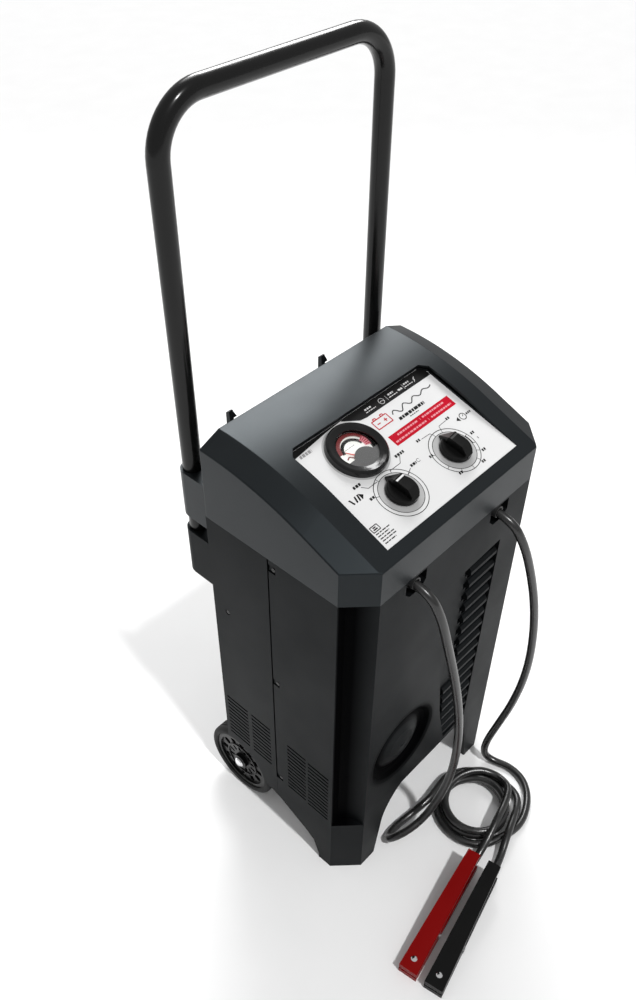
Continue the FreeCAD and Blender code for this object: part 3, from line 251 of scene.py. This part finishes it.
def lens_material():
    """Almost clear: a trace of glass over a transparent shader, so that the dial shows."""
    material, tree, shader = new_material("lens")
    shader.inputs["Base Color"].default_value = (0.96, 0.98, 0.98, 1.0)
    shader.inputs["Roughness"].default_value = 0.04
    shader.inputs["Transmission Weight"].default_value = 1.0
    shader.inputs["IOR"].default_value = 1.35
    glass = tree.nodes.new("ShaderNodeMixShader")
    clear = tree.nodes.new("ShaderNodeBsdfTransparent")
    glass.inputs["Fac"].default_value = 0.05
    tree.links.new(clear.outputs["BSDF"], glass.inputs[1])
    tree.links.new(shader.outputs["BSDF"], glass.inputs[2])
    tree.links.new(remap(tree, noise(tree, 60.0), 0.3, 0.7, 0.03, 0.07), shader.inputs["Roughness"])
    tree.links.new(glass.outputs["Shader"], tree.nodes["Material Output"].inputs["Surface"])
    return material


MATERIALS["lens"] = lens_material()
# painted shade in the corner hollows and the groove round the boss, with a tenth of the shell's reflection
paint_shade_in_hollows(MATERIALS["shell_black"], 0.1)
INK = {
    "black": surface("ink_black", grey(0.004), grey(0.006), (0.35, 0.45), specular=0.15),
    "strip": surface("ink_strip", grey(0.005), grey(0.007), (0.30, 0.38), specular=0.15),
    "red": surface("ink_red", (0.40, 0.002, 0.014), (0.44, 0.003, 0.018), (0.34, 0.42), specular=0.08),
    "dark_red": surface("ink_dark_red", (0.16, 0.020, 0.020), (0.20, 0.026, 0.026), (0.34, 0.42)),
    "pink": surface("ink_pink", (0.62, 0.22, 0.26), (0.66, 0.26, 0.30), (0.35, 0.45)),
    "grey": surface("ink_grey", grey(0.22), grey(0.26), (0.35, 0.45)),
    # soft grey for the painted shade under the knobs and round the meter
    "soft": surface("ink_base_shade", grey(0.36), grey(0.40), (0.35, 0.45)),
    "white": surface("ink_white", grey(0.62), grey(0.66), (0.35, 0.45)),
    # dark grey for the faint painted highlight on the timer knob
    "dim": surface("ink_dim_highlight", grey(0.03), grey(0.04), (0.35, 0.45)),
}

slots = {entry["node"]: entry["material_slot"] for entry in frame["record"]["subparts"]}
for name, obj in nodes.items():
    obj.data.materials.clear()
    obj.data.materials.append(MATERIALS[slots[name]])


# ---------------------------------------------------------------- leads
LEAD_DIAMETER = 0.011
CLAMPS = {"red": (-147.7, -272.8, 188.5), "black": (-142.1, -307.5, 190.6)}   # pin x, y (mm), heading
COIL = (45.0, -204.0)
FLOOR_Z, OVER_Z = 5.7, 17.3   # axis height of a strand on the floor, and of one lying on another
CORD_END = (-112, -96)        # where the last two route points lie, along the clamp from its pin


def clamp_point(colour, s, z=7.0):
    """Point s millimetres along a clamp from its pin."""
    x, y, degrees = CLAMPS[colour]
    return (x + s * math.cos(math.radians(degrees)), y + s * math.sin(math.radians(degrees)), z)


def turn(degrees, radius, z):
    """Point on a circle round the coil's centre."""
    a = math.radians(degrees)
    return (COIL[0] + radius * math.cos(a), COIL[1] + radius * math.sin(a), z)


LEFT_DROP = [(-76.5, -118.0, 540.5), (-76.4, -156.0, 539.0), (-70.0, -172.0, 505.0), (-57.0, -178.0, 448.0),
             (-41.0, -187.0, 372.0), (-25.0, -192.0, 285.0), (-15.0, -191.0, 200.0), (-11.0, -185.0, 128.0),
             (-17.0, -178.0, 78.0), (-38.0, -172.0, 44.0), (-66.0, -165.0, 34.0), (-86.0, -153.0, 24.0),
             (-84.0, -142.0, 8.0), (-62.0, -138.5, 5.6), (-34.0, -143.0, 7.0), (-10.0, -148.5, 13.5),
             (11.0, -151.0, 17.6), (36.0, -147.5, 17.3)]
RIGHT_DROP = [(76.5, -118.0, 540.5), (77.0, -156.0, 539.0), (85.0, -174.0, 506.0), (102.0, -182.0, 452.0),
              (121.0, -189.0, 380.0), (134.0, -193.0, 300.0), (140.0, -192.0, 222.0), (138.0, -184.0, 150.0),
              (130.0, -172.0, 90.0), (124.0, -163.0, 44.0), (124.0, -164.0, 14.0), (129.0, -180.0, 5.7),
              (137.0, -203.0, 5.7), (134.0, -229.0, 5.7), (119.0, -249.0, 5.7), (96.0, -263.0, 5.7),
              (70.0, -270.5, 5.7), (46.0, -267.5, 5.7), (28.0, -260.5, 5.7)]
LEFT_TAIL = [(102.4, -198.0, 19.5), (102.0, -214.0, 20.0), (94.0, -229.0, 27.5), (72.0, -239.0, 30.0),
             (38.0, -246.5, 30.0), (10.0, -252.0, 21.5), (-14.0, -254.5, 9.5)]
RIGHT_TAIL = [(103.3, -203.0, 5.7), (108.0, -224.0, 5.7), (102.0, -243.0, 5.7), (82.0, -254.0, 9.5),
              (62.0, -260.5, 17.0), (45.0, -265.5, 18.3), (28.0, -271.0, 16.0), (9.0, -277.5, 9.0),
              (-10.0, -282.5, 7.0)]


def share(value, start, end):
    """How far value has gone from start to end, held between 0 and 1."""
    return min(max((value - start) / (end - start), 0.0), 1.0)


def left_turns():
    """From the back on top of the other lead, down inside it, round twice and up again."""
    points = []
    for step in range(33):
        degrees = 76.0 - 24.0 * step
        sink = share(degrees, 76.0, 20.0)
        rise = share(degrees, -250.0, -332.0)
        lift = share(degrees, -610.0, -660.0)
        out = share(degrees, -660.0, -714.0)
        dip = 3.5 * math.exp(-((degrees + 308.0) / 30.0) ** 2)
        wander = 1.6 * math.sin(math.radians(degrees * 1.3)) * share(degrees, 20.0, -20.0)
        radius = 58.0 - 10.5 * sink - 1.5 * rise + 11.0 * out - dip + wander * (1.0 - lift)
        points.append(turn(degrees, radius, OVER_Z - (OVER_Z - FLOOR_Z) * (sink - rise) + 6.0 * lift))
    return points


def right_turns():
    """Round the outside of the coil on the floor, from the front to the right-hand side."""
    points = []
    for step in range(10):
        degrees = -128.0 - 23.0 * step
        points.append(turn(degrees, 60.0 + 1.6 * math.sin(math.radians(degrees * 2.0)), FLOOR_Z))
    return points


def lead(name, points, replaced):
    """One continuous lead in place of the CAD stretches that stand for it."""
    curve = bpy.data.curves.new(name, "CURVE")
    curve.dimensions = "3D"
    spline = curve.splines.new("NURBS")
    spline.points.add(len(points) - 1)
    for point, (x, y, z) in zip(spline.points, points):
        point.co = (x * MM, y * MM, z * MM, 1.0)
    spline.order_u = 3
    spline.use_endpoint_u = True
    spline.resolution_u = 16
    curve.bevel_depth = LEAD_DIAMETER / 2
    curve.bevel_resolution = 6
    curve.use_fill_caps = True
    obj = bpy.data.objects.new(name, curve)
    bpy.context.scene.collection.objects.link(obj)
    curve.materials.append(MATERIALS["lead_jacket"])
    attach(obj, "cabinet")
    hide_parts(*replaced)
    return obj


def add_lead(colour, route):
    route = route + [clamp_point(colour, s) for s in CORD_END]
    replaced = [colour + "_lead", colour + "_lead_coil", colour + "_lead_tail"]
    obj = lead(colour + "_battery_lead", route, replaced)


add_lead("red", LEFT_DROP + left_turns() + LEFT_TAIL)
add_lead("black", RIGHT_DROP + right_turns() + RIGHT_TAIL)


# ---------------------------------------------------------------- stage and light
world = bpy.data.worlds.new("studio")
world.use_nodes = True
world.node_tree.nodes["Background"].inputs["Color"].default_value = (1.0, 1.0, 1.0, 1.0)
world.node_tree.nodes["Background"].inputs["Strength"].default_value = 0.48
bpy.context.scene.world = world
bpy.context.scene.view_settings.view_transform = "Standard"


def area_light(name, place, target, size, watts):
    light = bpy.data.lights.new(name, "AREA")
    light.shape = "RECTANGLE"
    light.size, light.size_y = size
    light.energy = watts
    obj = bpy.data.objects.new(name, light)
    obj.location = place
    aim = Vector(target) - Vector(place)
    obj.rotation_euler = aim.to_track_quat("-Z", "Y").to_euler()
    bpy.context.scene.collection.objects.link(obj)


def sun_light(name, towards, energy, degrees):
    light = bpy.data.lights.new(name, "SUN")
    light.energy = energy
    light.angle = math.radians(degrees)
    obj = bpy.data.objects.new(name, light)
    obj.rotation_euler = Vector(towards).to_track_quat("-Z", "Y").to_euler()
    bpy.context.scene.collection.objects.link(obj)


sun_light("key", (0.084, 0.531, -0.990), 1.75, 3.5)
sun_light("fill", (-0.52, -0.56, -0.643), 0.6, 30.0)
area_light("sheen", (0.90, 0.87, 1.69), (-0.05, 0.05, 0.66), (0.8, 0.5), 20.0)

FLOOR_HALF = 9.0
corners = [(-FLOOR_HALF, -FLOOR_HALF, 0), (FLOOR_HALF, -FLOOR_HALF, 0),
           (FLOOR_HALF, FLOOR_HALF, 0), (-FLOOR_HALF, FLOOR_HALF, 0)]
floor_mesh = bpy.data.meshes.new("studio_floor")
floor_mesh.from_pydata(corners, [], [(0, 1, 2, 3)])
floor = bpy.data.objects.new("studio_floor", floor_mesh)
bpy.context.scene.collection.objects.link(floor)
floor_mesh.materials.append(surface("floor", grey(0.90), grey(0.92), (0.7, 0.8)))


# ---------------------------------------------------------------- panel graphics
PANEL_ANGLE = math.radians(16.5)
PANEL_FRONT, PANEL_Z = -124.5, 606.8   # y and z of the label's front edge
GAUGE, MODE, TIMER = (-44.0, -22.0), (-45.0, -86.5), (50.0, -85.5)   # x, y of each dial's centre
ORIGIN = (0.0, PANEL_FRONT)
LABEL_HALF, LABEL_TOP, STRIP_LOW = 115.8, 147.6, 132.5
# heights of the inks over the label, and over the meter's dial, so that no two share a plane
SHADE_RING_LIFT, BLOCK_LIFT, LINE_LIFT, MARK_LIFT = 0.07, 0.10, 0.13, 0.16
BORDER_LIFT, SCALE_LIFT, NUMBER_LIFT, END_LIFT, TICK_LIFT = 0.05, 0.10, 0.12, 0.14, 0.18
UP = Vector((0.0, -math.sin(PANEL_ANGLE), math.cos(PANEL_ANGLE)))
ALONG = Vector((0.0, math.cos(PANEL_ANGLE), math.sin(PANEL_ANGLE)))


def panel_point(u, v, height, at=(0.0, PANEL_FRONT)):
    """Metres, from millimetres across (u) and up (v) the panel's own face."""
    base = Vector((at[0], at[1], PANEL_Z + (at[1] - PANEL_FRONT) * math.tan(PANEL_ANGLE)))
    return (base + Vector((u, 0.0, 0.0)) + ALONG * v + UP * height) * MM


class Print:
    """Flat printed shapes on the panel, gathered into one mesh per ink."""

    def __init__(self, name, ink, height, body="cabinet", slot="label"):
        self.name, self.ink, self.height, self.body, self.slot_name = name, ink, height, body, slot
        self.mesh = bmesh.new()

    def shape(self, points, at):
        """Polygon through (u, v) points about the centre at."""
        verts = [self.mesh.verts.new(panel_point(u, v, self.height, at)) for u, v in points]
        self.mesh.faces.new(verts)

    def band(self, at, r0, r1, a0, a1, steps=64, centre=(0.0, 0.0)):
        """Ring or arc between two radii and two angles."""
        for i in range(steps):
            t0, t1 = (math.radians(a0 + (a1 - a0) * k / steps) for k in (i, i + 1))
            self.shape([(centre[0] + r * math.cos(t), centre[1] + r * math.sin(t))
                        for r, t in ((r0, t0), (r1, t0), (r1, t1), (r0, t1))], at)

    def stroke(self, at, points, width):
        """Line of even width through the points."""
        for (u0, v0), (u1, v1) in zip(points, points[1:]):
            run = Vector((u1 - u0, v1 - v0))
            side = Vector((-run.y, run.x)).normalized() * width / 2
            self.shape([(u0 - side.x, v0 - side.y), (u1 - side.x, v1 - side.y),
                        (u1 + side.x, v1 + side.y), (u0 + side.x, v0 + side.y)], at)

    def block(self, at, u, v, width, height, lean=0.0):
        """Upright or leaning box from its lower left corner."""
        self.shape([(u, v), (u + width, v), (u + width + lean, v + height), (u + lean, v + height)], at)

    def done(self):
        mesh = bpy.data.meshes.new(self.name)
        self.mesh.to_mesh(mesh)
        self.mesh.free()
        obj = bpy.data.objects.new(self.name, mesh)
        bpy.context.scene.collection.objects.link(obj)
        mesh.materials.append(self.ink)
        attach(obj, self.body)


def words(sheet, at, u0, u1, v, height, lengths=(2.6, 4.4, 3.2)):
    """A row of short blank bars where a line of small print would be."""
    u, k = u0, 0
    while u < u1 - 0.5:
        width = min(lengths[k % len(lengths)], u1 - u)
        sheet.block(at, u, v, width, height, height * 0.15)
        u += width + 1.0
        k += 1


def direction(degrees):
    """Cosine and sine, the unit vector at that angle."""
    a = math.radians(degrees)
    return math.cos(a), math.sin(a)


def print_strip():
    """Dark strip along the top edge of the label, with cut corners."""
    strip = Print("panel_strip", INK["strip"], BLOCK_LIFT)
    strip.shape([(-103.0, LABEL_TOP), (-111.0, 138.6), (-111.0, 141.8), (-27.0, 146.5),
                 (-27.0, LABEL_TOP)], ORIGIN)
    strip.shape([(-27.0, LABEL_TOP), (-27.0, 145.5), (-8.0, 134.0), (2.0, STRIP_LOW),
                 (LABEL_HALF, STRIP_LOW), (LABEL_HALF, LABEL_TOP - 8), (LABEL_HALF - 8, LABEL_TOP)], ORIGIN)
    strip.done()


def print_banner():
    """Red banner, and the rows of blank bars on it."""
    banner = Print("panel_banner", INK["red"], BLOCK_LIFT)
    banner.block(ORIGIN, 0.0, 83.9, 106.0, 15.0)
    banner.done()
    marks = Print("panel_banner_marks", INK["pink"], MARK_LIFT)
    words(marks, ORIGIN, 11.7, 47.4, 93.6, 2.2)
    words(marks, ORIGIN, 55.4, 94.0, 93.6, 2.2, (3.4, 2.2, 4.8))
    words(marks, ORIGIN, 2.6, 55.4, 87.2, 2.2, (4.2, 2.8, 5.0))
    words(marks, ORIGIN, 64.6, 101.0, 87.2, 2.2)
    for u, v in ((51.2, 93.0), (59.8, 86.6)):
        marks.block(ORIGIN, u, v, 0.5, 3.4)
    marks.done()


def print_strip_marks():
    """Bars, dividers and small pictograms on the dark strip."""
    marks = Print("panel_strip_marks", INK["white"], MARK_LIFT)
    for u0, u1 in ((6.9, 18.3), (47.0, 56.0), (75.0, 84.0)):
        words(marks, ORIGIN, u0, u1, 140.0, 2.2, (2.8,))
        words(marks, ORIGIN, u0 - 1.0, u1 + 4.0, 136.8, 1.0, (3.4, 2.2))
    for u in (42.6, 72.6):
        marks.block(ORIGIN, u, 135.2, 0.4, 7.6)
    marks.band(ORIGIN, 3.6, 4.1, 0, 360, 32, (34.0, 139.1))
    marks.stroke(ORIGIN, [(30.0, 138.2), (34.0, 139.6), (37.4, 137.8)], 0.5)
    marks.block(ORIGIN, 63.0, 137.2, 3.6, 2.6)
    marks.block(ORIGIN, 67.4, 137.2, 2.4, 2.6)
    marks.stroke(ORIGIN, [(90.5, 136.2), (93.2, 139.0), (91.6, 139.4), (95.4, 142.4)], 0.8)
    marks.done()


def print_battery_mark():
    """A plain battery outline with its minus and plus."""
    badge = Print("panel_battery_mark", INK["red"], LINE_LIFT)
    for run in ([(0, 112), (24, 112), (24, 124), (0, 124), (0, 111.4)],
                [(4, 124), (4, 126.4), (8, 126.4), (8, 124)],
                [(16, 124), (16, 126.4), (20, 126.4), (20, 124)],
                [(4, 118), (9, 118)], [(15, 118), (20, 118)], [(17.5, 115.5), (17.5, 120.5)]):
        badge.stroke(ORIGIN, run, 1.3)
    badge.done()


def draw_wave(ink):
    """Plain wavy line and a row of bars where a name would be."""
    wave = [(30.0 + k * 2.6, 117.5 + 0.16 * k + 4.2 * math.sin(k * 0.9) * (1.0 - k / 40.0))
            for k in range(29)]
    ink.stroke(ORIGIN, wave, 1.3)
    words(ink, ORIGIN, 31.0, 75.0, 106.6, 4.0, (4.6, 3.0, 6.0))
    words(ink, ORIGIN, 45.0, 60.0, 103.4, 1.2, (2.4,))


def draw_dials(ink):
    """Double rings, ticks, leader lines and blank captions round the two knobs."""
    for at in (MODE, TIMER):
        ink.band(at, 30.1, 30.95, 0, 360, 96)
        ink.band(at, 25.6, 26.3, 0, 360, 96)
    for at, angles in ((MODE, (24, 66, 111, 156)),
                       (TIMER, (12, -14, -36, -62, -92, -124, -156, 160, 98, 72))):
        for degrees in angles:
            c, d = direction(degrees)
            ink.stroke(at, [(25.9 * c, 25.9 * d), (30.6 * c, 30.6 * d)], 0.6)
    ink.band(TIMER, 26.0, 27.4, -14, 12, 10)
    for run in ([(-31.0, 31.0), (-25.3, 25.3), (-11.0, 25.3)], [(12.0, 26.7), (29.0, 26.7), (36.1, 33.8)],
                [(23.0, 10.6), (33.3, 15.3)]):
        ink.stroke(MODE, run, 0.7)
    for run in ([(-20.3, 33.3), (-6.0, 32.7), (-4.6, 29.9)], [(9.7, 29.3), (11.7, 33.6), (25.4, 34.2)]):
        ink.stroke(TIMER, run, 0.6)
    for u0, u1, v, height in ((-39.6, -28.7, 33.0, 3.5), (30.4, 44.7, 34.1, 3.5), (-35.3, -28.7, 12.4, 3.3),
                              (35.3, 44.7, 15.3, 3.3)):
        words(ink, MODE, u0, u1, v, height, (2.9, 3.4, 2.6))
    ink.band(MODE, 1.9, 2.4, 30, 330, 16, (49.0, 17.3))
    for u, v in ((-28.0, 32.7), (26.3, 33.6), (-32.6, 9.3), (34.2, 2.2), (26.0, -21.5), (12.6, -31.8),
                 (-22.6, -26.4)):
        words(ink, TIMER, u, u + 5.6, v, 3.3, (2.3,))
    ink.block(TIMER, 37.0, -6.2, 0.9, 2.8)


def draw_pointers(ink):
    """Slanted bars and arrow by the mode knob; clock face and arrow by the timer."""
    for i, lean in enumerate((-2.0, 2.2, 2.0)):
        ink.block(ORIGIN, -98.6 + i * 4.3, 59.4, 2.2, 7.4, lean)
    ink.shape([(-85.6, 58.6), (-80.6, 63.0), (-85.6, 67.4)], ORIGIN)
    ink.band(ORIGIN, 3.9, 4.9, 0, 360, 32, (97.5, 66.9))
    ink.stroke(ORIGIN, [(97.5, 66.9), (99.6, 68.8)], 0.8)
    ink.shape([(90.6, 63.4), (90.6, 70.0), (85.6, 66.7)], ORIGIN)
    words(ink, ORIGIN, 103.6, 111.4, 65.8, 2.6, (2.1,))


def draw_corner_box(ink):
    """Outlined box and five rows of bars in the lower left corner."""
    ink.stroke(ORIGIN, [(-108.2, 22.8), (-97.6, 22.8), (-97.6, 29.6), (-108.2, 29.6), (-108.2, 22.4)], 1.0)
    ink.block(ORIGIN, -106.0, 24.4, 6.0, 1.6)
    ink.block(ORIGIN, -105.2, 26.8, 4.4, 1.4)
    for v, end in ((19.4, -86.2), (16.2, -91.2), (12.9, -86.2), (9.8, -86.2), (6.2, -91.2)):
        words(ink, ORIGIN, -108.2, end, v, 1.2, (4.6, 3.2, 5.4))


def print_lines():
    """Everything that is printed in plain black."""
    ink = Print("panel_lines", INK["black"], LINE_LIFT)
    draw_wave(ink)
    draw_dials(ink)
    draw_pointers(ink)
    draw_corner_box(ink)
    ink.done()


def print_faint_marks():
    """Faint row of bars at the upper left."""
    faint = Print("panel_faint_marks", INK["grey"], LINE_LIFT)
    words(faint, ORIGIN, -101.7, -84.0, 135.0, 4.0, (3.0, 3.6))
    faint.done()


def print_shade_rings():
    """Painted shade: soft grey rings under the knobs and round the meter."""
    shade = Print("panel_shade_rings", INK["soft"], SHADE_RING_LIFT)
    for at in (MODE, TIMER):
        shade.band(at, 18.5, 25.6, 0, 360, 96)
    shade.band(GAUGE, 35.6, 38.4, 0, 360, 96)
    shade.done()


def print_meter_dial():
    """Black border, red scale with a pale end, ticks and a row of bars on the meter's dial."""
    scale_centre = (1.8, 2.6)
    dial = Print("dial_border", INK["black"], BORDER_LIFT, slot="dial_white")
    dial.band(GAUGE, 20.6, 26.0, 0, 360, 72)
    dial.band(GAUGE, 12.6, 16.6, 12, 170, 40, (0.0, 1.5))
    dial.done()
    dial = Print("dial_scale", INK["dark_red"], SCALE_LIFT, slot="dial_white")
    dial.band(GAUGE, 17.4, 21.8, 5, 172, 48, scale_centre)
    dial.stroke(GAUGE, [(-17.0, -3.0), (-12.5, -1.0), (-7.5, -6.5)], 1.6)
    dial.stroke(GAUGE, [(-14.5, -8.0), (-9.0, -8.6)], 1.8)
    dial.done()
    dial = Print("dial_scale_end", INK["pink"], END_LIFT, slot="dial_white")
    dial.band(GAUGE, 13.2, 20.8, -14, 26, 12, scale_centre)
    dial.done()
    dial = Print("dial_ticks", INK["red"], TICK_LIFT, slot="dial_white")
    for degrees in range(-8, 26, 8):
        c, d = direction(degrees)
        dial.stroke(GAUGE, [(r * c + scale_centre[0], r * d + scale_centre[1]) for r in (14.6, 20.4)], 0.9)
    dial.done()
    dial = Print("dial_numbers", INK["grey"], NUMBER_LIFT, slot="dial_white")
    words(dial, GAUGE, -10.6, 4.4, 7.0, 0.9, (2.8, 1.8))
    dial.done()


GRIP_TOP_R = 63.0      # radius of the dish in the top of a grip
GRIP_TOP_AXIS = 80.0   # height of the dish's axis over the panel
GRIP_TURN = 5.0        # degrees anticlockwise that each grip stands at rest


def knob_highlight(name, at, body, colour):
    """Painted highlight: a band across the dished grip of a knob, where its nose begins to slope."""
    bar = Print(name, colour, 0.0, body, "knob_black")
    c, d = direction(GRIP_TURN)

    def corner(u, v):
        height = GRIP_TOP_AXIS - math.sqrt(GRIP_TOP_R ** 2 - u ** 2) + 0.06
        return bar.mesh.verts.new(panel_point(u * c - v * d, u * d + v * c, height, at))

    for k in range(8):
        u0, u1 = -6.4 + k * 1.6, -4.8 + k * 1.6
        bar.mesh.faces.new([corner(u0, 7.0), corner(u1, 7.0), corner(u1, 9.2), corner(u0, 9.2)])
    bar.done()


print_strip()
print_banner()
print_strip_marks()
print_battery_mark()
print_lines()
print_faint_marks()
print_shade_rings()
print_meter_dial()
# painted highlights on the knob grips: white on the mode knob, dim on the timer knob
knob_highlight("mode_highlight", MODE, "mode_selector", INK["white"])
knob_highlight("timer_highlight", TIMER, "timer_selector", INK["dim"])
